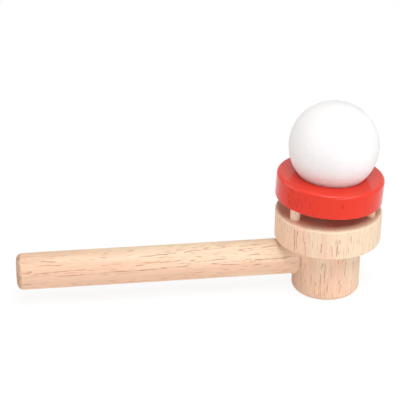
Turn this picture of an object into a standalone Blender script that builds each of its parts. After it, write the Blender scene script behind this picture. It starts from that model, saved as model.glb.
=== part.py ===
"""Floating ball pipe toy: a turned wooden pipe whose breath lifts a light ball out of a red ring.

Metres, +Z up. The origin is the centre of the foot's flat face. The bowl's axis is +Z and the stem
runs out along -X. The ball lifts off its seat along +Z.
"""

import math

import bmesh
import bpy
from mathutils import Vector

# Bowl: one turned block, a flat head on a narrower base
BASE_DIAMETER = 0.0282
BASE_HEIGHT = 0.0238
HEAD_DIAMETER = 0.0437
HEAD_THICKNESS = 0.0127
FOOT_ROUND = 0.0022
HEAD_TOP_ROUND = 0.0011
HEAD_UNDER_ROUND = 0.0006

# Stem: a drilled dowel, glued into the side of the base
STEM_DIAMETER = 0.0150
STEM_REACH = 0.1281
STEM_AXIS_HEIGHT = 0.0146
STEM_SIDE_OFFSET = 0.0010
STEM_SOCKET_DEPTH = 0.0085
STEM_TIP_CHAMFER = 0.0005
MOUTH_ROUND_ALONG = 0.0026
MOUTH_ROUND_ACROSS = 0.0034

# Airway: through the stem, then up the middle of the head
AIR_BORE = 0.0050
JET_COUNTERSINK = 0.0005

# Ring: the ball's seat, turned to the head's width and held over it by pegs, leaning a little
RING_DIAMETER = HEAD_DIAMETER
RING_WALL = 0.0083
RING_THICKNESS = 0.0102
RING_TOP_ROUND = 0.0012
RING_UNDER_ROUND = 0.0006
SEAT_ROUND = 0.0004
RING_AIR_GAP = 0.0051
RING_LEAN = math.radians(3.07)

# Pegs: three like dowels between head and ring, in the middle of the ring's wall
PEG_COUNT = 3
PEG_DIAMETER = 0.0040
PEG_FIRST_ANGLE = math.radians(88.5)
PEG_HOLE_DEPTH = 0.0055
PEG_CHAMFER = 0.0003

# Ball: light foam, loose on its seat
BALL_DIAMETER = 0.0363

# Clearances: the glue film of every joint, and the ball's gap to its seat
GLUE_GAP = 0.0003
BALL_SEAT_GAP = 0.0003

# Steps of the turned shapes
BODY_STEPS = 64
STEM_STEPS = 48
PEG_STEPS = 20
BALL_STEPS = 40
ROUND_STEPS = 4
CUT_OVERRUN = 0.0010
SMOOTH_ANGLE = math.radians(35)

# Worked out from the sizes above
BASE_RADIUS = BASE_DIAMETER / 2
HEAD_RADIUS = HEAD_DIAMETER / 2
STEM_RADIUS = STEM_DIAMETER / 2
BORE_RADIUS = AIR_BORE / 2
PEG_RADIUS = PEG_DIAMETER / 2
HEAD_TOP = BASE_HEIGHT + HEAD_THICKNESS
SOCKET_FLOOR = -(BASE_RADIUS - STEM_SOCKET_DEPTH)
SEAT_HOLE_RADIUS = RING_DIAMETER / 2 - RING_WALL
PEG_REACH = RING_DIAMETER / 2 - RING_WALL / 2
RING_HALF = RING_THICKNESS / 2
RING_CENTRE = Vector((0, 0, HEAD_TOP + RING_AIR_GAP + RING_HALF / math.cos(RING_LEAN)))
RING_NORMAL = Vector((math.sin(RING_LEAN), 0, math.cos(RING_LEAN)))


def clear_scene():
    """Remove whatever the scene holds, so that it holds the toy alone."""
    for old in list(bpy.data.objects):
        bpy.data.objects.remove(old, do_unlink=True)


def finish(name, colour, roughness):
    """A plain surface of one colour, red, green and blue from 0 to 1."""
    material = bpy.data.materials.new(name)
    material.use_nodes = True
    shader = material.node_tree.nodes["Principled BSDF"]
    shader.inputs["Base Color"].default_value = (*colour, 1)
    shader.inputs["Roughness"].default_value = roughness
    shader.inputs["Metallic"].default_value = 0
    return material


def bare_wood():
    return finish("bare_wood", (0.80, 0.58, 0.40), 0.6)


def dowel_wood():
    return finish("dowel_wood", (0.78, 0.55, 0.37), 0.6)


def peg_wood():
    return finish("peg_wood", (0.76, 0.56, 0.40), 0.65)


def red_paint():
    return finish("red_paint", (0.78, 0.055, 0.030), 0.35)


def white_foam():
    return finish("white_foam", (0.93, 0.92, 0.91), 0.85)


def corner(radius, height, across, along, start, end):
    """Points of a quarter round about (radius, height), between two angles in degrees."""
    points = []
    for step in range(ROUND_STEPS + 1):
        angle = math.radians(start + (end - start) * step / ROUND_STEPS)
        points.append((radius + across * math.cos(angle), height + along * math.sin(angle)))
    return points


def turned(name, profile, steps, material, closed=False):
    """A solid turned about Z from (radius, height) points that run up its outside.

    An open profile starts and ends on the axis. A closed one goes round a ring's section.
    """
    work = bmesh.new()
    points = [work.verts.new((radius, 0, height)) for radius, height in profile]
    pairs = list(zip(points, points[1:]))
    if closed:
        pairs.append((points[-1], points[0]))
    edges = [work.edges.new(pair) for pair in pairs]
    bmesh.ops.spin(
        work,
        geom=points + edges,
        axis=(0, 0, 1),
        cent=(0, 0, 0),
        steps=steps,
        angle=2 * math.pi,
        use_merge=True,
    )
    bmesh.ops.remove_doubles(work, verts=work.verts, dist=1e-6)
    bmesh.ops.recalc_face_normals(work, faces=work.faces)
    return placed_mesh(name, work, material)


def placed_mesh(name, work, material):
    """Put a finished bmesh in the scene as an object, smooth except at its sharp corners."""
    mesh = bpy.data.meshes.new(name)
    work.to_mesh(mesh)
    work.free()
    mesh.shade_smooth()
    mesh.set_sharp_from_angle(angle=SMOOTH_ANGLE)
    if material:
        mesh.materials.append(material)
    piece = bpy.data.objects.new(name, mesh)
    bpy.context.scene.collection.objects.link(piece)
    return piece


def drill(name, profile, steps):
    """A turned cutter. It shows as a wire and isn't one of the toy's pieces."""
    cutter = turned(name, profile, steps, None)
    cutter.hide_render = True
    cutter.display_type = "WIRE"
    return cutter


def cut(piece, cutter):
    """Take the cutter's shape out of the piece."""
    hole = piece.modifiers.new(cutter.name, "BOOLEAN")
    hole.operation = "DIFFERENCE"
    hole.solver = "EXACT"
    hole.object = cutter


def plain_hole(radius, low, high):
    """Profile of a straight flat-ended hole."""
    return [(0, low), (radius, low), (radius, high), (0, high)]


def lay_along_stem(piece):
    """Turn a piece's own Z to -X, along the stem's axis."""
    piece.location = (0, STEM_SIDE_OFFSET, STEM_AXIS_HEIGHT)
    piece.rotation_euler = (0, -math.pi / 2, 0)


def peg_places():
    """The pegs' centres in plan, the back one first, then round past the stem."""
    for index in range(PEG_COUNT):
        angle = PEG_FIRST_ANGLE + 2 * math.pi * index / PEG_COUNT
        yield PEG_REACH * math.cos(angle), PEG_REACH * math.sin(angle)


def ring_underside(x):
    """Height of the leaning ring's lower face over a place x along the stem's direction."""
    middle = RING_CENTRE.z - RING_HALF / math.cos(RING_LEAN)
    return middle - x * math.tan(RING_LEAN)


def peg_length():
    """The longest peg that still clears both hole ends where the ring is nearest the head."""
    spans = [ring_underside(x) + PEG_HOLE_DEPTH - (HEAD_TOP - PEG_HOLE_DEPTH) for x, y in peg_places()]
    return min(spans) - 2 * GLUE_GAP


def bowl_profile():
    """Outside of the bowl, from the middle of the foot to the middle of the head's top."""
    head_foot = BASE_HEIGHT + HEAD_UNDER_ROUND
    head_rim = HEAD_TOP - HEAD_TOP_ROUND
    foot_edge = corner(BASE_RADIUS - FOOT_ROUND, FOOT_ROUND, FOOT_ROUND, FOOT_ROUND, -90, 0)
    head_reach = HEAD_RADIUS - HEAD_UNDER_ROUND
    under_edge = corner(head_reach, head_foot, HEAD_UNDER_ROUND, HEAD_UNDER_ROUND, -90, 0)
    top_reach = HEAD_RADIUS - HEAD_TOP_ROUND
    top_edge = corner(top_reach, head_rim, HEAD_TOP_ROUND, HEAD_TOP_ROUND, 0, 90)
    neck = [(BASE_RADIUS, BASE_HEIGHT)]
    return [(0, 0)] + foot_edge + neck + under_edge + top_edge + [(0, HEAD_TOP)]


def stem_drill():
    """Socket for the stem and the narrower passage that goes on to the bowl's axis."""
    socket = STEM_RADIUS + GLUE_GAP
    floor = -SOCKET_FLOOR
    outside = HEAD_RADIUS + CUT_OVERRUN
    profile = [(0, 0), (BORE_RADIUS, 0), (BORE_RADIUS, floor), (socket, floor), (socket, outside), (0, outside)]
    cutter = drill("stem_drill", profile, STEM_STEPS)
    lay_along_stem(cutter)
    return cutter


def jet_drill():
    """Upright channel from below the stem's passage to the countersunk jet in the head's top."""
    low = STEM_AXIS_HEIGHT - BORE_RADIUS - CUT_OVERRUN
    wide = BORE_RADIUS + JET_COUNTERSINK
    profile = [
        (0, low),
        (BORE_RADIUS, low),
        (BORE_RADIUS, HEAD_TOP - JET_COUNTERSINK),
        (wide, HEAD_TOP),
        (wide, HEAD_TOP + CUT_OVERRUN),
        (0, HEAD_TOP + CUT_OVERRUN),
    ]
    return drill("jet_drill", profile, STEM_STEPS)


def make_bowl(material):
    """The turned block, drilled for the stem, the jet and the pegs."""
    bowl = turned("pipe_bowl", bowl_profile(), BODY_STEPS, material)
    cut(bowl, stem_drill())
    cut(bowl, jet_drill())
    hole = PEG_RADIUS + GLUE_GAP
    for index, (x, y) in enumerate(peg_places()):
        profile = plain_hole(hole, HEAD_TOP - PEG_HOLE_DEPTH, HEAD_TOP + CUT_OVERRUN)
        cutter = drill(f"head_peg_drill_{index}", profile, PEG_STEPS)
        cutter.location = (x, y, 0)
        cut(bowl, cutter)
    return bowl


def make_stem(material):
    """The drilled dowel, its tip in the socket and its mouth end rounded over."""
    tip = -SOCKET_FLOOR + GLUE_GAP
    shoulder = STEM_REACH - MOUTH_ROUND_ALONG
    mouth = corner(
        STEM_RADIUS - MOUTH_ROUND_ACROSS, shoulder, MOUTH_ROUND_ACROSS, MOUTH_ROUND_ALONG, 0, 90
    )
    profile = [
        (BORE_RADIUS, tip),
        (STEM_RADIUS - STEM_TIP_CHAMFER, tip),
        (STEM_RADIUS, tip + STEM_TIP_CHAMFER),
    ]
    profile += mouth + [(BORE_RADIUS, STEM_REACH)]
    stem = turned("pipe_stem", profile, STEM_STEPS, material, closed=True)
    lay_along_stem(stem)
    return stem


def ring_profile():
    """Section of the ring about its own middle, round the outside and back down the hole."""
    outer = RING_DIAMETER / 2
    hole = SEAT_HOLE_RADIUS
    under = corner(
        outer - RING_UNDER_ROUND, RING_UNDER_ROUND - RING_HALF, RING_UNDER_ROUND, RING_UNDER_ROUND, -90, 0
    )
    top = corner(
        outer - RING_TOP_ROUND, RING_HALF - RING_TOP_ROUND, RING_TOP_ROUND, RING_TOP_ROUND, 0, 90
    )
    seat = seat_edge()
    hole_foot = corner(hole + SEAT_ROUND, SEAT_ROUND - RING_HALF, SEAT_ROUND, SEAT_ROUND, 180, 270)
    return under + top + seat + hole_foot


def seat_edge():
    """The rounded upper edge of the ring's hole, which the ball rests on."""
    middle = SEAT_HOLE_RADIUS + SEAT_ROUND
    return corner(middle, RING_HALF - SEAT_ROUND, SEAT_ROUND, SEAT_ROUND, 90, 180)


def make_ring(material):
    """The painted ring, leaning about Y, with an upright blind hole for each peg."""
    ring = turned("ball_seat_ring", ring_profile(), BODY_STEPS, material, closed=True)
    ring.location = RING_CENTRE
    ring.rotation_euler = (0, RING_LEAN, 0)
    hole = PEG_RADIUS + GLUE_GAP
    for index, (x, y) in enumerate(peg_places()):
        profile = plain_hole(hole, HEAD_TOP, ring_underside(x) + PEG_HOLE_DEPTH)
        cutter = drill(f"ring_peg_drill_{index}", profile, PEG_STEPS)
        cutter.location = (x, y, 0)
        cut(ring, cutter)
    return ring


def make_pegs(material):
    """Three like dowels that share one mesh, each standing on the floor of its hole in the head."""
    length = peg_length()
    tip = PEG_RADIUS - PEG_CHAMFER
    profile = [
        (0, 0),
        (tip, 0),
        (PEG_RADIUS, PEG_CHAMFER),
        (PEG_RADIUS, length - PEG_CHAMFER),
        (tip, length),
        (0, length),
    ]
    names = ("ring_peg_back", "ring_peg_left", "ring_peg_right")
    foot = HEAD_TOP - PEG_HOLE_DEPTH + GLUE_GAP
    first = turned(names[0], profile, PEG_STEPS, material)
    for name, (x, y) in zip(names, peg_places()):
        peg = first
        if name != names[0]:
            peg = bpy.data.objects.new(name, first.data)
            bpy.context.scene.collection.objects.link(peg)
        peg.location = (x, y, foot)


def ball_height():
    """How far above the ring's middle the ball's centre comes to rest on the seat's edge."""
    reach = BALL_DIAMETER / 2 + BALL_SEAT_GAP
    return max(height + math.sqrt(max(reach**2 - radius**2, 0)) for radius, height in seat_edge())


def make_ball(material):
    """The loose ball, its origin at its centre, on the line along which it floats up."""
    work = bmesh.new()
    radius = BALL_DIAMETER / 2
    bmesh.ops.create_uvsphere(work, u_segments=BALL_STEPS, v_segments=BALL_STEPS // 2, radius=radius)
    ball = placed_mesh("float_ball", work, material)
    ball.location = RING_CENTRE + RING_NORMAL * ball_height()
    return ball


def build():
    clear_scene()
    make_bowl(bare_wood())
    make_stem(dowel_wood())
    make_ring(red_paint())
    make_pegs(peg_wood())
    ball = make_ball(white_foam())
    print("peg length", round(peg_length(), 5), "ball centre", [round(v, 5) for v in ball.location])


build()
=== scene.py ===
# %% [markdown]
# # Floating ball pipe
#
# The real toy is a small wooden blow pipe. Breath goes in at the end of the long stem, turns up
# inside the round bowl and leaves through a jet in the middle of its flat head. A light foam ball
# rests in a red ring above the jet, and a steady breath lifts the ball and holds it in the air.
#
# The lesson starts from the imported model: seven plain solids with the right sizes in the right
# places. Each of them is made again on the same spot with finer edges, and gets a finish of its
# own.

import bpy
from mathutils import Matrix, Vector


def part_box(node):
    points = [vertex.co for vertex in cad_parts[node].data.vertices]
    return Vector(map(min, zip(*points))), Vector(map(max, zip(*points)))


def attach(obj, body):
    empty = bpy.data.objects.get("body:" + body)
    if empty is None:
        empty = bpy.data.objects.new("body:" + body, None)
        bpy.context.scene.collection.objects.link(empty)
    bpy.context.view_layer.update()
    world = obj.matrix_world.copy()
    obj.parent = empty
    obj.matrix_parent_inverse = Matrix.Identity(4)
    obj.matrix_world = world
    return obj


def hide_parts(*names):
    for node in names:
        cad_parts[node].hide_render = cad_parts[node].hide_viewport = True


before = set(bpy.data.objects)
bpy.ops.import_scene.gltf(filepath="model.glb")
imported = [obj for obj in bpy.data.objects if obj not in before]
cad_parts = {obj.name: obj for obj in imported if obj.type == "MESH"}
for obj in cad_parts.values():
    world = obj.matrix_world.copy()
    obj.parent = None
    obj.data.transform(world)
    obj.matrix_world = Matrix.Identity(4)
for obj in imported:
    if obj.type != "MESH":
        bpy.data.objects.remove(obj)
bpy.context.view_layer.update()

# %% [markdown]
# ## One piece in hand at a time
#
# An operator acts on all that is selected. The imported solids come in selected, and so is every new
# primitive, so each step first puts everything down and then picks up one piece.

# %% Pick up one piece
import math

import bmesh
import bpy
from mathutils import Matrix, Vector


def put_down():
    """Leave edit mode and deselect everything."""
    if bpy.context.object and bpy.context.object.mode != "OBJECT":
        bpy.ops.object.mode_set(mode="OBJECT")
    bpy.ops.object.select_all(action="DESELECT")


def pick_up(piece):
    """Select one piece alone and make it the one that operators work on."""
    put_down()
    piece.select_set(True)
    bpy.context.view_layer.objects.active = piece


put_down()
print("selected after the load:", len(bpy.context.selected_objects))

# %% [markdown]
# ## The camera
#
# The photograph is taken from a little above and in front of the stem's middle, through a fairly
# long lens, so that the ball stays round. The camera is made first, because every later choice of
# colour and edge is judged through it.

# %% Camera at the photograph's angle
CAMERA_PLACE = (-0.109748, -0.456330, 0.271018)
CAMERA_TURN = (math.radians(63.632), 0, math.radians(-7.081))
LENS_MM = 114.718
SENSOR_MM = 36

put_down()
bpy.ops.object.camera_add(location=CAMERA_PLACE, rotation=CAMERA_TURN)
camera = bpy.context.object
camera.name = "photo_camera"
camera.data.sensor_width = SENSOR_MM
camera.data.lens = LENS_MM
bpy.context.scene.camera = camera
bpy.context.scene.view_settings.view_transform = "Standard"
print("camera", [round(v, 4) for v in camera.location], "lens", LENS_MM)

# %% [markdown]
# ## Faces and edges by where they are
#
# Inside a piece, single faces and edges have to be picked as well. By hand that is a click, but the
# numbers that a script would have to write for it change with every step. So faces are picked here
# by the way they look and edges by where they are, as a turner would point at a rim.

# %% Pick faces and edges of a piece
# Points this close, in metres, count as on the same spot.
TOUCH = 1e-5


def pick_faces(wanted):
    """In edit mode, select the faces whose normal passes the test, and no others."""
    bpy.ops.mesh.select_mode(type="FACE")
    bpy.ops.mesh.select_all(action="DESELECT")
    work = bmesh.from_edit_mesh(bpy.context.edit_object.data)
    found = [face for face in work.faces if wanted(face.normal)]
    for face in found:
        face.select_set(True)
    bmesh.update_edit_mesh(bpy.context.edit_object.data)
    return len(found)


def pick_edges(wanted):
    """In edit mode, select the edges whose two ends pass the test, and no others."""
    bpy.ops.mesh.select_mode(type="EDGE")
    bpy.ops.mesh.select_all(action="DESELECT")
    work = bmesh.from_edit_mesh(bpy.context.edit_object.data)
    found = [edge for edge in work.edges if all(wanted(end.co) for end in edge.verts)]
    for edge in found:
        edge.select_set(True)
    bmesh.update_edit_mesh(bpy.context.edit_object.data)
    return len(found)


def on_rim(centre, axis, radius):
    """A test for points that lie on one round rim, given its centre, its axis and its radius."""

    def test(point):
        reach = point - Vector(centre)
        along = reach.dot(Vector(axis))
        return abs(along) < TOUCH and abs((reach - along * Vector(axis)).length - radius) < TOUCH

    return test


print(f"the same spot means within {TOUCH * 1000:.2f} mm")

# %% [markdown]
# ## A blank and a rounded rim
#
# A turned piece starts as a round blank on the lathe. Here that is a cylinder primitive of the
# right size at the right place, and its place is written into its mesh at once, so that the object
# itself stays at the origin. The bevel tool rounds its rims over, with enough segments to look
# round.

# %% Make a blank, round a rim


def round_blank(name, radius, start, end, steps):
    """A round bar between two points."""
    start, end = Vector(start), Vector(end)
    put_down()
    bpy.ops.mesh.primitive_cylinder_add(
        vertices=steps,
        radius=radius,
        depth=(end - start).length,
        location=(start + end) / 2,
        rotation=(end - start).to_track_quat("Z", "Y").to_euler(),
    )
    piece = bpy.context.object
    piece.name = piece.data.name = name
    bpy.ops.object.transform_apply(location=True, rotation=True, scale=True)
    return piece


def round_over(wanted, radius, steps):
    """Round a picked rim to a radius."""
    count = pick_edges(wanted)
    bpy.ops.mesh.bevel(
        offset=radius,
        offset_type="OFFSET",
        segments=steps,
        profile=0.5,
        affect="EDGES",
        clamp_overlap=False,
    )
    return count


# %% [markdown]
# ## The bowl
#
# The bowl is most likely one block of pale hardwood, a flat round head on a narrower round base,
# since no glue line shows. Two cylinders pushed together would leave a seam inside. One blank is
# better: the base is the blank, its top face is extruded on the spot, scaled out to the head's
# width and extruded up, exactly the profile that a turner cuts. The head's upper rim and the foot
# are rounded over, the foot the most.

# %% Turn the bowl
foot_corner, head_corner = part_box("pipe_bowl")
HEAD_RADIUS = (head_corner.x - foot_corner.x) / 2
HEAD_TOP = head_corner.z
HEAD_THICKNESS = 0.0127
HEAD_UNDER = HEAD_TOP - HEAD_THICKNESS
BASE_RADIUS = 0.0141
FOOT_ROUND = 0.0022
TOP_ROUND = 0.0011
UNDER_ROUND = 0.0006
BOWL_STEPS = 192
LOOKS_UP = 0.9

bowl = round_blank("turned_bowl", BASE_RADIUS, (0, 0, 0), (0, 0, HEAD_UNDER), BOWL_STEPS)
bpy.ops.object.mode_set(mode="EDIT")
pick_faces(lambda normal: normal.z > LOOKS_UP)
bpy.ops.mesh.extrude_region_move(TRANSFORM_OT_translate={"value": (0, 0, 0)})
widen = HEAD_RADIUS / BASE_RADIUS
bpy.ops.transform.resize(value=(widen, widen, 1), center_override=(0, 0, HEAD_UNDER))
bpy.ops.mesh.extrude_region_move(TRANSFORM_OT_translate={"value": (0, 0, HEAD_THICKNESS)})
round_over(on_rim((0, 0, 0), (0, 0, 1), BASE_RADIUS), FOOT_ROUND, steps=12)
round_over(on_rim((0, 0, HEAD_UNDER), (0, 0, 1), HEAD_RADIUS), UNDER_ROUND, steps=6)
rim_edges = round_over(on_rim((0, 0, HEAD_TOP), (0, 0, 1), HEAD_RADIUS), TOP_ROUND, steps=10)
bpy.ops.object.mode_set(mode="OBJECT")
print("bowl turned, rim edges:", rim_edges)

# %% [markdown]
# ## Drilling and sanding
#
# A hole could be modelled face by face, but a Boolean is nearer to a real drill: a bar of the
# hole's size is taken away from the piece. Sanding is the last step on every wooden piece. It keeps
# flat faces flat in the light, because shading is smooth only across gentle angles, and normals are
# weighted towards the large faces.

# %% Drill a hole, sand a surface
CRISP_ANGLE = math.radians(32)
HOLE_STEPS = 64
MERGE_DISTANCE = 1e-6


def drill(piece, radius, start, end):
    """Drill a round hole between two points."""
    bit = round_blank("drill_bit", radius, start, end, HOLE_STEPS)
    pick_up(piece)
    bpy.ops.object.modifier_add(type="BOOLEAN")
    hole = piece.modifiers[-1]
    hole.operation = "DIFFERENCE"
    hole.solver = "EXACT"
    hole.object = bit
    bpy.ops.object.modifier_apply(modifier=hole.name)
    bpy.data.objects.remove(bit, do_unlink=True)


def sand(piece):
    """Merge stray doubles, face all outwards, and shade the piece smooth between crisp rims."""
    pick_up(piece)
    bpy.ops.object.mode_set(mode="EDIT")
    bpy.ops.mesh.select_all(action="SELECT")
    bpy.ops.mesh.remove_doubles(threshold=MERGE_DISTANCE)
    bpy.ops.mesh.normals_make_consistent(inside=False)
    bpy.ops.object.mode_set(mode="OBJECT")
    bpy.ops.object.shade_smooth_by_angle(angle=CRISP_ANGLE)
    bpy.ops.object.modifier_add(type="WEIGHTED_NORMAL")
    even = piece.modifiers[-1]
    even.keep_sharp = True
    bpy.ops.object.modifier_apply(modifier=even.name)
    size = piece.dimensions * 1000
    faces = len(piece.data.polygons)
    print(f"{piece.name}: {size.x:.1f} x {size.y:.1f} x {size.z:.1f} mm, {faces} faces")


print(f"hole sides: {HOLE_STEPS}, crisp above {math.degrees(CRISP_ANGLE):.0f} degrees")

# %% [markdown]
# ## The bowl's drillings
#
# The stem's socket goes in from the side, a narrower airway goes on from it to the middle, and the
# jet comes up to meet it through the head. Three blind holes take the pegs. The photograph shows
# none of these, but such a toy needs them to work. The joints are drawn a hair wide, 0.05 mm,
# because a glued dowel shows only a fine dark line round its edge.

# %% Drill the socket, the airway, the jet and the peg holes
JOINT_LINE = 0.00005
END_GAP = 4 * JOINT_LINE
DRILL_OVERRUN = 0.001
AIR_RADIUS = 0.0025
PEG_HOLE_DEPTH = 0.0055
JET_CHAMFER = 0.0005

mouth_corner, tip_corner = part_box("pipe_stem")
STEM_RADIUS = (tip_corner.z - mouth_corner.z) / 2
STEM_SIDE = (tip_corner.y + mouth_corner.y) / 2
STEM_HEIGHT = (tip_corner.z + mouth_corner.z) / 2
MOUTH_X = mouth_corner.x
TIP_X = tip_corner.x


def on_stem_axis(x):
    """The point of the stem's axis at a place along it."""
    return Vector((x, STEM_SIDE, STEM_HEIGHT))


drill(bowl, STEM_RADIUS + JOINT_LINE, on_stem_axis(-2 * BASE_RADIUS), on_stem_axis(TIP_X + END_GAP))
drill(bowl, AIR_RADIUS, on_stem_axis(TIP_X - DRILL_OVERRUN), on_stem_axis(0))
drill(bowl, AIR_RADIUS, (0, 0, STEM_HEIGHT - AIR_RADIUS), (0, 0, HEAD_TOP + DRILL_OVERRUN))

PEG_NODES = ("ring_peg_back", "ring_peg_left", "ring_peg_right")
peg_boxes = [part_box(node) for node in PEG_NODES]
PEG_RADIUS = (peg_boxes[0][1].x - peg_boxes[0][0].x) / 2
PEG_FOOT = peg_boxes[0][0].z
PEG_TIP = peg_boxes[0][1].z
peg_places = [((low.x + high.x) / 2, (low.y + high.y) / 2) for low, high in peg_boxes]
for x, y in peg_places:
    floor_of_hole, above_hole = HEAD_TOP - PEG_HOLE_DEPTH, HEAD_TOP + DRILL_OVERRUN
    drill(bowl, PEG_RADIUS + JOINT_LINE, (x, y, floor_of_hole), (x, y, above_hole))

pick_up(bowl)
bpy.ops.object.mode_set(mode="EDIT")
jet_edges = pick_edges(on_rim((0, 0, HEAD_TOP), (0, 0, 1), AIR_RADIUS))
bpy.ops.mesh.bevel(offset=JET_CHAMFER, segments=1, affect="EDGES", clamp_overlap=False)
bpy.ops.object.mode_set(mode="OBJECT")
sand(bowl)
print("pegs at", [(round(x * 1000, 1), round(y * 1000, 1)) for x, y in peg_places], "mm")
print("jet edges", jet_edges)

# %% [markdown]
# ## The stem
#
# The stem is a length of dowel with a bore from end to end. Its mouth end is evenly rounded all the
# way, and below there is a flat facet besides, such as a sanding belt leaves. Both could be cut
# with Booleans, but a bevel makes the round in one step, and a bisect then cuts the facet through
# it.

# %% Shape and bore the stem
STEM_STEPS = 144
MOUTH_ROUND = 0.0026
FACET_ALONG = 0.0019
FACET_UP = 0.0044
CUT_TOLERANCE = 1e-7
TIP_CHAMFER = 0.0005

stem = round_blank("blow_stem", STEM_RADIUS, on_stem_axis(TIP_X), on_stem_axis(MOUTH_X), STEM_STEPS)
bpy.ops.object.mode_set(mode="EDIT")
pick_edges(on_rim(on_stem_axis(TIP_X), (1, 0, 0), STEM_RADIUS))
bpy.ops.mesh.bevel(offset=TIP_CHAMFER, segments=1, affect="EDGES", clamp_overlap=False)
round_over(on_rim(on_stem_axis(MOUTH_X), (1, 0, 0), STEM_RADIUS), MOUTH_ROUND, steps=12)
bpy.ops.mesh.select_all(action="SELECT")
bpy.ops.mesh.bisect(
    plane_co=on_stem_axis(MOUTH_X) + Vector((FACET_ALONG, 0, -STEM_RADIUS)),
    plane_no=(-FACET_UP, 0, -FACET_ALONG),
    use_fill=True,
    clear_outer=True,
    threshold=CUT_TOLERANCE,
)
bpy.ops.object.mode_set(mode="OBJECT")
drill(stem, AIR_RADIUS, on_stem_axis(MOUTH_X - DRILL_OVERRUN), on_stem_axis(TIP_X + DRILL_OVERRUN))
sand(stem)

# %% [markdown]
# ## The red ring and its hole
#
# The ring is turned to the head's width, painted, and stands on three pegs. It leans 3 degrees, as
# a ring that is set on its pegs by hand may. The ball rests on the rounded edge of its hole. That
# edge could be guessed, but the sizes and places of ball and ring are known, so the hole's width is
# worked out from them. A hair's width is left between the two, so that they don't cut each other.

# %% Work out the hole
ring_low, ring_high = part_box("ball_seat_ring")
RING_CENTRE = (ring_low + ring_high) / 2
RING_THICKNESS = 0.0102
RING_RADIUS = HEAD_RADIUS
RING_LEAN = math.radians(3.07)
SEAT_ROUND = 0.00035

ball_low, ball_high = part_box("float_ball")
BALL_CENTRE = (ball_low + ball_high) / 2
BALL_RADIUS = (ball_high.z - ball_low.z) / 2
ball_lift = (BALL_CENTRE - RING_CENTRE).length - RING_THICKNESS / 2 + SEAT_ROUND
touching = BALL_RADIUS + SEAT_ROUND + JOINT_LINE
SEAT_RADIUS = math.sqrt(touching**2 - ball_lift**2) - SEAT_ROUND
print(f"hole {SEAT_RADIUS * 2000:.1f} mm wide for a ball of {BALL_RADIUS * 2000:.1f} mm")

# %% [markdown]
# ## The ring from its section
#
# A cylinder with a drilled hole would make a ring too, but its rims are rounded by four different
# amounts, and that is easiest to see on its section. So the section is drawn once, a plane with its
# four corners rounded, and the spin tool carries it round the axis. Only its outline is spun, so no
# wall is left inside.

# %% Spin the ring
# Which corner of the section, outwards and upwards, and how far it is rounded.
RING_CORNERS = {
    (1, 1): 0.0012,
    (1, -1): 0.0006,
    (-1, 1): SEAT_ROUND,
    (-1, -1): 0.0004,
}
CORNER_STEPS = 8
SPIN_STEPS = 192

wall = RING_RADIUS - SEAT_RADIUS
put_down()
bpy.ops.mesh.primitive_plane_add(
    size=1, location=(SEAT_RADIUS + wall / 2, 0, 0), rotation=(math.pi / 2, 0, 0)
)
ring = bpy.context.object
ring.name = ring.data.name = "red_ring"
ring.scale = (wall, RING_THICKNESS, 1)
bpy.ops.object.transform_apply(location=True, rotation=True, scale=True)
bpy.ops.object.mode_set(mode="EDIT")
for (out, up), radius in RING_CORNERS.items():
    corner = Vector((SEAT_RADIUS + wall * (out + 1) / 2, 0, up * RING_THICKNESS / 2))
    bpy.ops.mesh.select_mode(type="VERT")
    bpy.ops.mesh.select_all(action="DESELECT")
    work = bmesh.from_edit_mesh(ring.data)
    for point in work.verts:
        point.select_set((point.co - corner).length < TOUCH)
    bmesh.update_edit_mesh(ring.data)
    bpy.ops.mesh.bevel(
        offset=radius, segments=CORNER_STEPS, profile=0.5, affect="VERTICES", clamp_overlap=False
    )
bpy.ops.mesh.select_all(action="SELECT")
bpy.ops.mesh.delete(type="ONLY_FACE")
bpy.ops.mesh.select_all(action="SELECT")
bpy.ops.mesh.spin(steps=SPIN_STEPS, angle=2 * math.pi, center=(0, 0, 0), axis=(0, 0, 1))
bpy.ops.mesh.select_all(action="SELECT")
bpy.ops.mesh.remove_doubles(threshold=MERGE_DISTANCE)
bpy.ops.mesh.normals_make_consistent(inside=False)
bpy.ops.object.mode_set(mode="OBJECT")
ring.rotation_euler = (0, RING_LEAN, 0)
ring.location = RING_CENTRE
bpy.ops.object.transform_apply(location=True, rotation=True, scale=True)
for x, y in peg_places:
    drill(ring, PEG_RADIUS + JOINT_LINE, (x, y, HEAD_TOP), (x, y, PEG_TIP + END_GAP))
sand(ring)

# %% [markdown]
# ## The pegs
#
# Three short lengths of 4 mm dowel with slightly eased ends hold the ring over the head. Two of
# them show, and the third is taken to stand behind. An array could place them all, but it would
# make them one piece. So one is made and the other two are copies, each with a mesh of its own,
# moved to the next hole.

# %% Cut one peg and copy it
PEG_STEPS = 48
PEG_EASE = 0.0003

x, y = peg_places[0]
first_peg = round_blank("back_peg", PEG_RADIUS, (x, y, PEG_FOOT), (x, y, PEG_TIP), PEG_STEPS)
bpy.ops.object.mode_set(mode="EDIT")
round_over(on_rim((x, y, PEG_FOOT), (0, 0, 1), PEG_RADIUS), PEG_EASE, steps=3)
round_over(on_rim((x, y, PEG_TIP), (0, 0, 1), PEG_RADIUS), PEG_EASE, steps=3)
sand(first_peg)
pegs = [first_peg]
for name, place in zip(("left_peg", "right_peg"), peg_places[1:]):
    pick_up(first_peg)
    bpy.ops.object.duplicate(linked=False)
    peg = bpy.context.object
    peg.name = peg.data.name = name
    peg.location = (place[0] - x, place[1] - y, 0)
    bpy.ops.object.transform_apply(location=True, rotation=True, scale=True)
    pegs.append(peg)
print("pegs:", [peg.name for peg in pegs])

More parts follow.
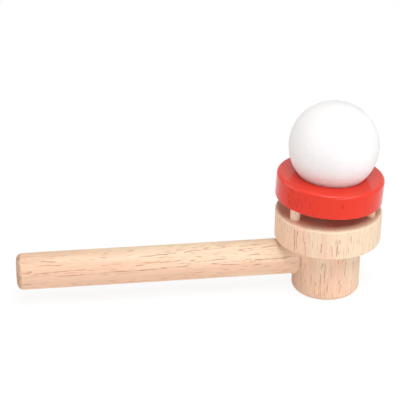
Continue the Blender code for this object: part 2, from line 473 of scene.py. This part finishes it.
# %% [markdown]
# ## The ball
#
# The ball looks moulded from foam beads, and such a ball is nearly but not perfectly round: its
# skin dips a little where beads meet. A UV sphere would crowd its faces at two poles, but an
# icosphere has faces of even size and no poles. A Displace modifier with a cell pattern presses the
# seams in. It only ever presses inwards, so the ball keeps its diameter and its clearance in the
# ring.

# %% Mould the ball
BEAD_SIZE = 0.0026
BEAD_DIP = 0.00002
BALL_SUBDIVISIONS = 7

put_down()
bpy.ops.mesh.primitive_ico_sphere_add(
    subdivisions=BALL_SUBDIVISIONS, radius=BALL_RADIUS, location=BALL_CENTRE
)
ball = bpy.context.object
ball.name = ball.data.name = "foam_ball"
bpy.ops.object.transform_apply(location=True, rotation=True, scale=True)
beads = bpy.data.textures.new("bead_skin", "VORONOI")
beads.noise_scale = BEAD_SIZE
beads.weight_1 = 1
bpy.ops.object.modifier_add(type="DISPLACE")
dips = ball.modifiers[-1]
dips.texture = beads
dips.texture_coords = "LOCAL"
dips.mid_level = 0
dips.strength = -BEAD_DIP
bpy.ops.object.modifier_apply(modifier=dips.name)
bpy.ops.object.shade_smooth()
reaches = [(point.co - BALL_CENTRE).length * 1000 for point in ball.data.vertices]
print(f"ball radius {min(reaches):.3f} to {max(reaches):.3f} mm")

# %% [markdown]
# ## Patterns from nodes
#
# Each finish is a graph of nodes. Wired by hand in the editor, such a graph soon fills the screen.
# Here a few helpers keep it short enough to read. The first adds any node with its settings and
# inputs, and the others each do one sum with numbers or vectors.

# %% Add a node, do a sum


def add(tree, kind, feeds=None, **settings):
    """Add a node. Settings are its choices. Feeds are its inputs, values or nodes' outputs."""
    made = tree.nodes.new("ShaderNode" + kind)
    for name, value in settings.items():
        setattr(made, name, value)
    for socket, value in (feeds or {}).items():
        if isinstance(value, bpy.types.NodeSocket):
            tree.links.new(value, made.inputs[socket])
        else:
            made.inputs[socket].default_value = value
    return made


def maths(tree, operation, *values):
    """One arithmetic step."""
    return add(tree, "Math", dict(enumerate(values)), operation=operation).outputs[0]


def times(tree, first, second):
    """One value times another."""
    return maths(tree, "MULTIPLY", first, second)


def vectors(tree, operation, first, second):
    """One step with two vectors that makes a third."""
    return add(tree, "VectorMath", {0: first, 1: second}, operation=operation).outputs["Vector"]


def reach_along(tree, first, second):
    """How far one vector reaches along another."""
    return add(tree, "VectorMath", {0: first, 1: second}, operation="DOT_PRODUCT").outputs["Value"]


def stretched(tree, vector, along):
    """The same pattern space, drawn out along its Z: the smaller the factor, the longer."""
    return vectors(tree, "MULTIPLY", vector, (1, 1, along))


print("helpers for sums: maths, times, vectors, reach_along, stretched")

# %% [markdown]
# ## Noise, fades and blends
#
# A pattern takes three steps: noise makes clouds, a fade turns part of them into a share between 0
# and 1, and a mix blends two colours by that share. A picture could be wrapped round the piece
# instead, but nodes have no seams and stay sharp close up.
#
# Two kinds of number come back in every finish. A scale counts per metre, so noise of scale 1500
# has clouds of about 0.7 mm. And noise swings round a half, so a pair such as 0.42 and 0.58 says
# where a cloud fades in: the closer the two, the crisper its edge.

# %% Make noise, fade it, blend colours


def fade(tree, value, low, high, start=0.0, end=1.0):
    """Ease from start to end while the value goes from low to high."""
    feeds = {"Value": value, "From Min": low, "From Max": high, "To Min": start, "To Max": end}
    return add(tree, "MapRange", feeds, interpolation_type="SMOOTHSTEP").outputs[0]


def mix(tree, share, first, second, way="MIX"):
    """Blend two colours by a share."""
    feeds = {0: share, 6: first, 7: second}
    return add(tree, "Mix", feeds, data_type="RGBA", blend_type=way, clamp_factor=True).outputs[2]


def noise(tree, vector, scale, detail=2.0, roughness=0.5):
    """Soft cloudy noise."""
    feeds = {"Vector": vector, "Scale": scale, "Detail": detail, "Roughness": roughness}
    return add(tree, "TexNoise", feeds).outputs[0]


print("helpers for patterns: fade, mix, noise")

# %% [markdown]
# ## A finish to start from
#
# A new material brings a Principled shader, and every finish of the toy starts from that. The
# pattern is made in the piece's own space, with Z turned to run along the grain. Fine relief could
# be modelled, but pores a tenth of a millimetre deep would need millions of faces, so a Bump node
# dents them into the light instead.

# %% Start a finish, turn its pattern, dent its surface


def colour(red, green, blue):
    """A solid colour."""
    return (red, green, blue, 1.0)


def new_finish(name):
    """A material with its node tree and its shader, ready for a pattern."""
    finish = bpy.data.materials.new(name)
    finish.use_nodes = True
    shader = finish.node_tree.nodes["Principled BSDF"]
    shader.inputs["Metallic"].default_value = 0.0
    return finish, finish.node_tree, shader


def grain_space(tree, place, turn, shift=(0, 0, 0)):
    """The piece's own space, with Z turned to run along the grain, shifted so pieces differ."""
    feeds = {"Vector": place["Object"], "Location": shift, "Rotation": turn}
    return add(tree, "Mapping", feeds).outputs[0]


def dent(tree, shader, relief, strength, depth):
    """Dent the surface by a relief. Depth is in metres."""
    bump = add(tree, "Bump", {"Height": relief, "Strength": strength, "Distance": depth})
    tree.links.new(bump.outputs[0], shader.inputs["Normal"])


print("pieces that wait for a finish:", [piece.name for piece in (bowl, stem, ring, *pegs, ball)])

# %% [markdown]
# ## Strokes of the grain
#
# The wood's open pores show as short dark strokes along the grain, like those of a pen. Cells of a
# Voronoi pattern, drawn out along the grain, give such strokes, each with a darkness of its own.
#
# Cells put their strokes anywhere. The few that catch the eye on the real toy are laid one by one
# instead: each is a straight run between two points of the surface, and the wood turns dark where
# it comes close to one. Sway and gaps from noise keep such a run from looking ruled.

# %% Strokes from cells, and strokes laid by hand
STROKE_SWAY = 0.0009
SWAY_SCALE = 700
MIDDLE_GREY = (0.5, 0.5, 0.5)
# Farther than any stroke can be, in metres.
FAR_OFF = 1.0


def pore_field(tree, grain, spacing, width, stretch):
    """Short strokes along the grain, some darker than others. Spacing and width are in metres."""
    cells = {"Vector": stretched(tree, grain, stretch), "Scale": 1 / spacing, "Randomness": 1.0}
    field = add(tree, "TexVoronoi", cells)
    share = width / spacing
    inside = fade(tree, field.outputs["Distance"], 0.3 * share, 0.6 * share, 1.0, 0.0)
    return times(tree, inside, fade(tree, field.outputs["Color"], 0.25, 0.75, 0.3, 1.0))


def marks_along(tree, place, grain, runs, width):
    """Frayed dark marks along straight runs, each from one point to another in metres."""
    wobble = {"Vector": stretched(tree, grain, 0.3), "Scale": SWAY_SCALE}
    sway = add(tree, "TexNoise", wobble).outputs["Color"]
    sway = vectors(tree, "SUBTRACT", sway, MIDDLE_GREY)
    sway = add(tree, "VectorMath", {0: sway, "Scale": STROKE_SWAY}, operation="SCALE").outputs[0]
    spot = vectors(tree, "ADD", place["Object"], sway)
    nearest = FAR_OFF
    for start, end in runs:
        run = (end - start).normalized()
        reach = vectors(tree, "SUBTRACT", spot, start)
        along = reach_along(tree, reach, run)
        limits = {"Value": along, "Min": 0.0, "Max": (end - start).length}
        held = add(tree, "Clamp", limits).outputs[0]
        foot = add(tree, "VectorMath", {0: run, "Scale": held}, operation="SCALE").outputs[0]
        gap = add(tree, "VectorMath", {0: reach, 1: foot}, operation="DISTANCE").outputs["Value"]
        nearest = maths(tree, "MINIMUM", nearest, gap)
    broken = fade(tree, noise(tree, stretched(tree, grain, 0.15), scale=900), 0.38, 0.54, 0.3, 1.0)
    return times(tree, fade(tree, nearest, 0.3 * width, width, 1.0, 0.0), broken)


print(f"a laid stroke sways by up to {STROKE_SWAY / 2 * 1000:.2f} mm to either side")

# %% [markdown]
# ## Bare wood
#
# The wood looks like a pale, open-pored hardwood, sanded but not varnished. Close up it shows five
# things, and each gets its own layer: broad cream and pink bands, fine fibres, short dark pores,
# wider reddish vessels, and a few long brown streaks where pores line up.
#
# Wood is the same stuff right through, so the pattern is a solid one and not a picture wrapped
# round the piece. Cut across, the same pores then show as dots, as end grain really does. Faces cut
# across the grain also turn a speckled brown. A thin line along the bowl's rounded upper rim is
# painted pale: a painted highlight where light catches the rounded edge.

# %% Layers of bare wood
PORE = colour(0.34, 0.085, 0.03)
STREAK = colour(0.56, 0.23, 0.11)
END_GRAIN = colour(0.32, 0.165, 0.09)
# Painted highlight: the pale colour of the line along the bowl's rounded upper rim.
PAINTED_RIM_HIGHLIGHT = colour(0.98, 0.86, 0.64)


def banded(tree, place, grain, cream, blush, warmth, pink_and_shade_slope):
    """Broad bands from cream to blush. Warmth makes all pinker; the slope makes one side pinker, as
    wood tone and painted shade.
    """
    cloud = noise(tree, stretched(tree, grain, 0.06), scale=120)
    # Pinker along the slope: partly the wood's own tone, partly painted shade on the sides away from
    # the lamps.
    cloud = maths(tree, "ADD", cloud, reach_along(tree, place["Object"], pink_and_shade_slope))
    return mix(tree, fade(tree, cloud, 0.38 - warmth, 0.62 - warmth), cream, blush)


def grey(tree, value, low, high, dark, light):
    """A grey between two tones, for multiplying a colour."""
    tone = fade(tree, value, low, high, dark, light)
    return add(tree, "CombineColor", {0: tone, 1: tone, 2: tone}).outputs[0]


def long_streaks(tree, grain):
    """Thin lines where a slow noise passes its middle, broken up by another noise."""
    level = noise(tree, stretched(tree, grain, 0.03), scale=140, detail=3.0, roughness=0.55)
    offset = maths(tree, "ABSOLUTE", maths(tree, "SUBTRACT", level, 0.5))
    line = fade(tree, offset, 0.001, 0.007, 1.0, 0.0)
    broken = fade(tree, noise(tree, stretched(tree, grain, 0.10), scale=420), 0.48, 0.62)
    return times(tree, line, broken)


def cut_across(tree, grain, facing):
    """A speckle on faces that cut the grain, and nothing on faces that run along it."""
    across = fade(tree, maths(tree, "ABSOLUTE", facing), 0.12, 0.6)
    speckle = fade(tree, noise(tree, grain, scale=1300, roughness=0.65), 0.42, 0.60, 0.35, 0.95)
    return times(tree, across, speckle)


def upper_rim(tree, facing):
    """The rounded upper edge between side and flat top, which takes the painted highlight."""
    return times(tree, fade(tree, facing, 0.15, 0.4), fade(tree, facing, 0.6, 0.85, 1.0, 0.0))


print("layer colours:", PORE[:3], STREAK[:3], END_GRAIN[:3], PAINTED_RIM_HIGHLIGHT[:3])

# %% [markdown]
# ## One wood finish from its layers
#
# Block, dowel and pegs are cut from like wood but not from one blank. One function builds the
# finish, and each piece gives it its own colours, its own part of the pattern and its own direction
# of grain.

# %% Build a bare wood finish
PORE_WIDTH = 0.00021
MARK_WIDTH = 0.00024
MARK_SHARE = 0.72
VESSEL_SPACING = 0.0009
VESSEL_WIDTH = 0.00026
VESSEL_SHARE = 0.85
STREAK_SHARE = 0.6
PORE_DEPTH = 0.00010


def bare_wood(
    name,
    cream,
    blush,
    turn,
    shift,
    axis,
    warmth,
    pink_and_shade_slope,
    spacing,
    stroke,
    streaks,
    end_share,
    rim_highlight=0.0,
    runs=(),
):
    """Sanded hardwood with its grain along one axis of the piece.

    Turn and shift place the pattern. Warmth says how pink the bands are, and the pink and shade
    slope which way they get pinker, partly as the wood's own tone and partly as painted shade.
    Spacing is how far apart the pores lie, in metres, and a small stroke draws them out long.
    Streaks, end share and rim highlight say how strongly the long streaks, the brown of cut ends
    and the painted highlight on the upper rim show. Runs are the strokes listed one by one.
    """
    finish, tree, shader = new_finish(name)
    place = add(tree, "TexCoord").outputs
    grain = grain_space(tree, place, turn, shift)

    wood = banded(tree, place, grain, cream, blush, warmth, pink_and_shade_slope)
    fibres = noise(tree, stretched(tree, grain, 0.025), scale=1500, detail=3.0, roughness=0.6)
    wood = mix(tree, 1.0, wood, grey(tree, fibres, 0.3, 0.7, 0.94, 1.04), "MULTIPLY")

    crowd = fade(tree, noise(tree, stretched(tree, grain, 0.05), scale=420), 0.42, 0.58, 0.1, 0.9)
    pores = times(tree, pore_field(tree, grain, spacing, PORE_WIDTH, stroke), crowd)
    wood = mix(tree, pores, wood, PORE)
    if runs:
        marks = marks_along(tree, place, grain, runs, MARK_WIDTH)
        wood = mix(tree, times(tree, marks, MARK_SHARE), wood, PORE)
    vessels = pore_field(tree, grain, VESSEL_SPACING, VESSEL_WIDTH, stroke * 0.5)
    wood = mix(tree, times(tree, vessels, VESSEL_SHARE), wood, STREAK)
    wood = mix(tree, times(tree, long_streaks(tree, grain), STREAK_SHARE * streaks), wood, STREAK)

    facing = reach_along(tree, place["Normal"], axis)
    wood = mix(tree, times(tree, cut_across(tree, grain, facing), end_share), wood, END_GRAIN)
    # A paler line on the upper rim: a painted highlight where light catches the rounded edge.
    if rim_highlight:
        wood = mix(tree, times(tree, upper_rim(tree, facing), rim_highlight), wood, PAINTED_RIM_HIGHLIGHT)
    tree.links.new(wood, shader.inputs["Base Color"])

    tree.links.new(fade(tree, pores, 0.0, 1.0, 0.58, 0.85), shader.inputs["Roughness"])
    relief = maths(tree, "SUBTRACT", times(tree, fibres, 0.25), pores)
    dent(tree, shader, relief, strength=0.12, depth=PORE_DEPTH)
    return finish


print(f"pores {PORE_WIDTH * 1000:.2f} mm wide, laid strokes {MARK_WIDTH * 1000:.2f} mm")

# %% [markdown]
# ## Where the laid strokes run
#
# On the real toy these are the darkest pores of bowl and stem. They are written as a turner would
# measure them: round the bowl by degrees from the front and by height, and along the stem by
# distance and by degrees above the front. Places on the surface follow from the sizes of the
# pieces, so the strokes stay on the wood.

# %% Lay the strokes that show on bowl and stem
# Each row is one stroke: the turn and height in mm where it starts, then those where it ends.
BOWL_MARKS = [
    (-19, 31, -19, 27), (-7.5, 30, -7.5, 25.5), (-2, 33, -2, 25.5), (12, 34, 12.5, 30.5),
    (-28.5, 31, -28.5, 28.5), (-24, 27, -23.5, 25.5), (-50, 34.5, -49.5, 25),
    (-46.5, 34.5, -47, 26), (-39, 34.5, -39, 30.5), (54, 28.5, 54, 26), (-18, 18, -21, 15),
    (-14, 17.5, -15, 11), (-3, 16, -3.5, 11), (22, 19.5, 21, 13), (-21, 12.5, -20, 1.5),
    (-8.5, 11, -8.5, 4), (12, 10, 13, 4), (-37, 11.5, -36.5, 7), (-60, 17, -58.5, 7),
]
# The same with the place along the stem in mm and the degrees above the front.
STEM_MARKS = [
    (-113, 7, -82, 10), (-82, 10, -59, 13.5), (-94, 31, -86, 39), (-80, 25, -70, 33),
    (-58, 31, -50, 37), (-79, 52, -63, 59), (-60, 61, -43, 69), (-37, 69, -25, 76),
    (-126, 58, -113, 55), (-118, 19, -100, 23), (-49, 17, -42, 20), (-40, 19, -14, 24),
    (-126, 25, -122, 26), (-32, 38, -29, 39), (-50, -29, -44, -28), (-125.5, 57, -122, 60),
    (-121, 58, -116.5, 60), (-126, 22, -122.5, 20), (-126, -17, -122.5, -18), (-116, 43, -110, 39),
    (-94, 59, -89, 57), (-78, 54, -73, 53), (-70, 30, -62, 33), (-52, 26, -43, 30),
    (-45, 12, -38, 10), (-28, 62, -22, 64), (-35, 58, -30, 60), (-46, 79, -42, 79),
    (-108, -24, -104, -27), (-92, -24, -88, -26), (-62, -11, -60, -16),
]


def on_bowl(turn, height):
    """A point of the bowl's side, by its turn from the front in degrees and its height in mm."""
    radius = HEAD_RADIUS if height / 1000 > HEAD_UNDER else BASE_RADIUS
    turn = math.radians(turn)
    return Vector((radius * math.sin(turn), -radius * math.cos(turn), height / 1000))


def on_stem(x, rise):
    """A point of the stem's side, by its place along it in mm and its degrees above the front."""
    rise = math.radians(rise)
    return on_stem_axis(x / 1000) + STEM_RADIUS * Vector((0, -math.cos(rise), math.sin(rise)))


bowl_runs = [(on_bowl(*row[:2]), on_bowl(*row[2:])) for row in BOWL_MARKS]
stem_runs = [(on_stem(*row[:2]), on_stem(*row[2:])) for row in STEM_MARKS]
print("strokes laid:", len(bowl_runs), "on the bowl,", len(stem_runs), "on the stem")

# %% [markdown]
# ## Bowl, stem and pegs in bare wood
#
# On the real toy the grain runs up the block and along the stem, a degree or two off the axis,
# because no blank is cut perfectly straight. The pegs are taken to be cut likewise. The block is
# pinker towards the stem and the foot, and the dowel towards its mouth end and its underside: a
# slow slope across the piece does that. The pinker side is partly the wood's own tone and partly
# painted shade.

# %% Finish bowl, stem and pegs
BLOCK_CREAM = colour(0.83, 0.65, 0.465)
BLOCK_BLUSH = colour(0.85, 0.57, 0.40)
DOWEL_CREAM = colour(0.82, 0.63, 0.445)
DOWEL_BLUSH = colour(0.78, 0.515, 0.355)
PEG_CREAM = colour(0.90, 0.72, 0.56)
GRAIN_UP = (math.radians(1.2), math.radians(-1.5), 0)
GRAIN_ALONG = (0, math.radians(-87.6), 0)
UP = (0, 0, 1)
ALONG = (1, 0, 0)

block_wood = bare_wood(
    "bare_block_wood",
    cream=BLOCK_CREAM,
    blush=BLOCK_BLUSH,
    turn=GRAIN_UP,
    shift=(0.31, 0.12, 0.07),
    axis=UP,
    warmth=0.13,
    pink_and_shade_slope=(-13, 0, -8),
    spacing=0.00045,
    stroke=0.08,
    streaks=1.0,
    end_share=0.3,
    rim_highlight=0.3,
    runs=bowl_runs,
)
dowel_wood = bare_wood(
    "bare_dowel_wood",
    cream=DOWEL_CREAM,
    blush=DOWEL_BLUSH,
    turn=GRAIN_ALONG,
    shift=(0.73, 0.44, 0.15),
    axis=ALONG,
    warmth=0.19,
    pink_and_shade_slope=(-3, 0, -16),
    spacing=0.00038,
    stroke=0.06,
    streaks=1.0,
    end_share=1.0,
    runs=stem_runs,
)
peg_wood = bare_wood(
    "bare_peg_wood",
    cream=PEG_CREAM,
    blush=BLOCK_BLUSH,
    turn=GRAIN_UP,
    shift=(0.05, 0.91, 0.33),
    axis=UP,
    warmth=0.0,
    pink_and_shade_slope=(0, 0, 0),
    spacing=0.00042,
    stroke=0.08,
    streaks=0.3,
    end_share=0.3,
)
bowl.data.materials.append(block_wood)
stem.data.materials.append(dowel_wood)
for peg in pegs:
    peg.data.materials.append(peg_wood)
print("wood finishes:", block_wood.name, dowel_wood.name, peg_wood.name)

# %% [markdown]
# ## Red paint
#
# The ring is painted an opaque red with a satin shine. The paint fills most of the grain, but the
# pores of the side still show as faint upright grooves, painted a little darker than the rest as
# painted shade in them. A cell pattern makes most of them, and the plainest are listed one by one,
# with the same helper as the wood's. Top and underside cut the grain across, and there the paint is
# even.

# %% Lay the grooves that show on the ring
# Each row is one groove: its turn and its height in mm above the ring's middle, at both ends.
RING_MARKS = [
    (-61, 1, -59, -3), (-57, -1, -55.5, -4.5), (-54, 1, -52.5, -3), (-51, 0, -50, -3),
    (-48.5, 1, -47, -3), (-46, 3, -45, -1), (-42.5, 0.5, -41.5, -2.5), (-32.5, 1, -32, -1.5),
    (0, 2.5, 1, 0), (27, 4, 28, 0),
]


def on_ring(turn, height):
    """A point of the ring's side, by its turn in degrees and its height above the middle in mm."""
    turn = math.radians(turn)
    point = Vector((RING_RADIUS * math.sin(turn), -RING_RADIUS * math.cos(turn), height / 1000))
    return RING_CENTRE + Matrix.Rotation(RING_LEAN, 3, "Y") @ point


ring_runs = [(on_ring(*row[:2]), on_ring(*row[2:])) for row in RING_MARKS]
print("grooves laid:", len(ring_runs), "on the ring")

# %% [markdown]
# ## The coat on the ring
#
# Paint could be one flat colour. What makes it read as paint on wood is that the grooves sink a
# little and take a deeper red, which is painted shade in them, while a fine unevenness in the skin
# breaks up the shine.

# %% Paint the ring
PAINT_RED = colour(0.75, 0.033, 0.012)
# Painted shade for the grooves: a deeper red where they sink.
GROOVE_SHADE_RED = colour(0.44, 0.006, 0.002)
GROOVE_SPACING = 0.0005
GROOVE_WIDTH = 0.0003
GROOVE_STROKE = 0.04
GROOVE_MARK_WIDTH = 0.00032
GROOVE_SHARE = 0.9
GROOVE_DEPTH = 0.00010
PAINT_SHINE = 0.32

red_paint, tree, shader = new_finish("satin_red_paint")
place = add(tree, "TexCoord").outputs
grain = grain_space(tree, place, (0, -RING_LEAN, 0))

patches = fade(tree, noise(tree, grain, scale=110), 0.46, 0.62)
facing = reach_along(tree, place["Normal"], UP)
side = fade(tree, maths(tree, "ABSOLUTE", facing), 0.3, 0.7, 1.0, 0.0)
grooves = pore_field(tree, grain, GROOVE_SPACING, GROOVE_WIDTH, GROOVE_STROKE)
grooves = times(tree, grooves, times(tree, patches, side))
laid = marks_along(tree, place, grain, ring_runs, GROOVE_MARK_WIDTH)
sunk = maths(tree, "MAXIMUM", grooves, laid)
# The grooves, cells and listed ones alike, are painted deeper red: painted shade in them.
coat = mix(tree, times(tree, sunk, GROOVE_SHARE), PAINT_RED, GROOVE_SHADE_RED)
tree.links.new(coat, shader.inputs["Base Color"])

skin = noise(tree, grain, scale=1100)
relief = maths(tree, "SUBTRACT", times(tree, skin, 0.06), sunk)
dent(tree, shader, relief, strength=0.2, depth=GROOVE_DEPTH)
tree.links.new(fade(tree, skin, 0.3, 0.7, 0.12, 0.16), shader.inputs["Roughness"])
shader.inputs["Specular IOR Level"].default_value = PAINT_SHINE
ring.data.materials.append(red_paint)
print("paint:", red_paint.name)

# %% [markdown]
# ## White foam
#
# Foam beads are matte and almost pure white. What tells them from chalk is the net of fine seams
# between the beads, so a cell pattern of the same size as the dips in the mesh darkens and sinks
# them. Light also goes some way into foam and comes out beside, which softens its shaded side. That
# is what the shader's subsurface inputs are for.

# %% Finish the ball
FOAM_WHITE = colour(0.81, 0.804, 0.80)
FOAM_SEAM = colour(0.77, 0.76, 0.755)
FOAM_ROUGHNESS = 0.8
SEAM_WIDTH = 0.09
SEAM_SHARE = 0.5
SEAM_DEPTH = 0.00008
LIGHT_REACH = 0.012

white_foam, tree, shader = new_finish("white_bead_foam")
place = add(tree, "TexCoord").outputs
cells = {"Vector": place["Object"], "Scale": 1 / BEAD_SIZE}
edge = add(tree, "TexVoronoi", cells, feature="DISTANCE_TO_EDGE").outputs["Distance"]
seam = fade(tree, edge, 0.0, SEAM_WIDTH, 1.0, 0.0)
foam = mix(tree, times(tree, seam, SEAM_SHARE), FOAM_WHITE, FOAM_SEAM)
tree.links.new(foam, shader.inputs["Base Color"])

fuzz = noise(tree, place["Object"], scale=1600)
relief = maths(tree, "SUBTRACT", times(tree, fuzz, 0.4), seam)
dent(tree, shader, relief, strength=0.12, depth=SEAM_DEPTH)
shader.inputs["Roughness"].default_value = FOAM_ROUGHNESS
shader.inputs["Subsurface Weight"].default_value = 1.0
shader.inputs["Subsurface Radius"].default_value = (1.0, 1.0, 1.0)
shader.inputs["Subsurface Scale"].default_value = LIGHT_REACH
ball.data.materials.append(white_foam)
print("foam:", white_foam.name)

# %% [markdown]
# ## The floor
#
# The photograph is a cut-out on white. A white floor alone would come out grey where the lamps
# fade, and brighter lamps would bleach the toy. So the floor is a pale matte sheet that, to the
# camera, mostly glows white through Light Path's Is Camera Ray. A small share of it stays plain
# matte and keeps the toy's shadow.

# %% Floor that looks white
FLOOR_SIZE = 4.0
FLOOR_PALE = colour(0.95, 0.95, 0.95)
FLOOR_GLOW = 0.88
GLOW_STRENGTH = 1.03
WHITE = colour(1, 1, 1)

put_down()
bpy.ops.mesh.primitive_plane_add(size=FLOOR_SIZE, location=(0, 0, 0))
floor = bpy.context.object
floor.name = floor.data.name = "studio_floor"


def seen_directly(tree):
    """1 for a ray from the camera, mirrored or let through too, and 0 for light on the toy."""
    path = add(tree, "LightPath")
    seen = maths(tree, "MAXIMUM", path.outputs["Is Camera Ray"], path.outputs["Is Glossy Ray"])
    return maths(tree, "MAXIMUM", seen, path.outputs["Is Transmission Ray"])


pale = bpy.data.materials.new("pale_floor")
pale.use_nodes = True
tree = pale.node_tree
tree.nodes.clear()
matte = add(tree, "BsdfDiffuse", {"Color": FLOOR_PALE})
glow = add(tree, "Emission", {"Color": WHITE, "Strength": GLOW_STRENGTH})
glow_share = times(tree, seen_directly(tree), FLOOR_GLOW)
both = add(tree, "MixShader", {0: glow_share, 1: matte.outputs[0], 2: glow.outputs[0]})
add(tree, "OutputMaterial", {"Surface": both.outputs[0]})
floor.data.materials.append(pale)
print("floor", FLOOR_SIZE, "m")

# %% [markdown]
# ## The air around
#
# Past the floor's edge the camera looks into the world, which is white for it too. On the toy
# itself the world sheds only a trace of light, so that the lamps alone shape it.

# %% World that looks white
SKY_LEVEL = 0.03
SKY_TINT = colour(1.0, 0.985, 0.97)

world = bpy.data.worlds.new("studio_air")
bpy.context.scene.world = world
world.use_nodes = True
tree = world.node_tree
tree.nodes.clear()
air = add(tree, "Background", {"Color": SKY_TINT, "Strength": SKY_LEVEL})
white = add(tree, "Background", {"Color": WHITE, "Strength": 1.0})
both = add(tree, "MixShader", {0: seen_directly(tree), 1: air.outputs[0], 2: white.outputs[0]})
add(tree, "OutputWorld", {"Surface": both.outputs[0]})
print("sky level", SKY_LEVEL)

# %% [markdown]
# ## Lamps
#
# The light in the photograph fits large soft sources: one high in front, one from the right, a
# larger one straight above, and another large one, a little pink, far round to the left. A low
# strip in front stands for the light that a pale table throws back up. Sun lamps would cut hard
# shadows, so every lamp is an area lamp. They are set so that a colour renders about as it is
# written.

# %% Set up the lamps
LAMP_TARGET = Vector((-0.03, 0, 0.04))
LAMP_DISTANCE = 1.5
SMALL_BOX = (0.7, 0.7)
LARGE_BOX = (1.1, 1.1)
STRIP = (0.7, 0.14)


def soft_box(name, azimuth, elevation, size, power, tint):
    """An area lamp that looks at the toy. Azimuth 0 is in front, and grows to the right."""
    turn, rise = math.radians(azimuth), math.radians(elevation)
    level = math.cos(rise)
    away = Vector((math.sin(turn) * level, -math.cos(turn) * level, math.sin(rise)))
    put_down()
    bpy.ops.object.light_add(type="AREA", location=LAMP_TARGET + away * LAMP_DISTANCE)
    lamp = bpy.context.object
    lamp.name = name
    lamp.rotation_euler = away.to_track_quat("Z", "Y").to_euler()
    lamp.data.shape = "RECTANGLE"
    lamp.data.size, lamp.data.size_y = size
    lamp.data.energy = power
    lamp.data.color = tint


soft_box("key_box", azimuth=0, elevation=60, size=SMALL_BOX, power=10.1, tint=(1.0, 1.0, 0.98))
soft_box("right_box", azimuth=60, elevation=50, size=SMALL_BOX, power=6.2, tint=(0.96, 1.0, 1.0))
soft_box("top_box", azimuth=0, elevation=88, size=LARGE_BOX, power=7.7, tint=(1.0, 1.0, 1.0))
soft_box("left_box", azimuth=-100, elevation=20, size=LARGE_BOX, power=9.4, tint=(1.0, 0.94, 0.94))
soft_box("low_strip", azimuth=22, elevation=4, size=STRIP, power=7.8, tint=(1.0, 0.95, 0.98))

# %% [markdown]
# ## Tie the pieces to the moving model
#
# Every piece stands for the imported solid that it was made from, and rides on the same body. Only
# the ball moves: its body slides straight up on the jet. Each row of the table also lists the
# finish slot of the record that the piece belongs to, though nothing here reads it.

# %% Ride on the bodies and replace the imported solids
PIECES = [
    (bowl, "pipe", "pipe_bowl", "bare_wood"),
    (stem, "pipe", "pipe_stem", "dowel_wood"),
    (ring, "pipe", "ball_seat_ring", "red_paint"),
    (pegs[0], "pipe", "ring_peg_back", "peg_wood"),
    (pegs[1], "pipe", "ring_peg_left", "peg_wood"),
    (pegs[2], "pipe", "ring_peg_right", "peg_wood"),
    (ball, "ball", "float_ball", "white_foam"),
]
put_down()
for piece, body, node, slot in PIECES:
    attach(piece, body)
    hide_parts(node)
    print(piece.name, "rides on", body, "for", node)
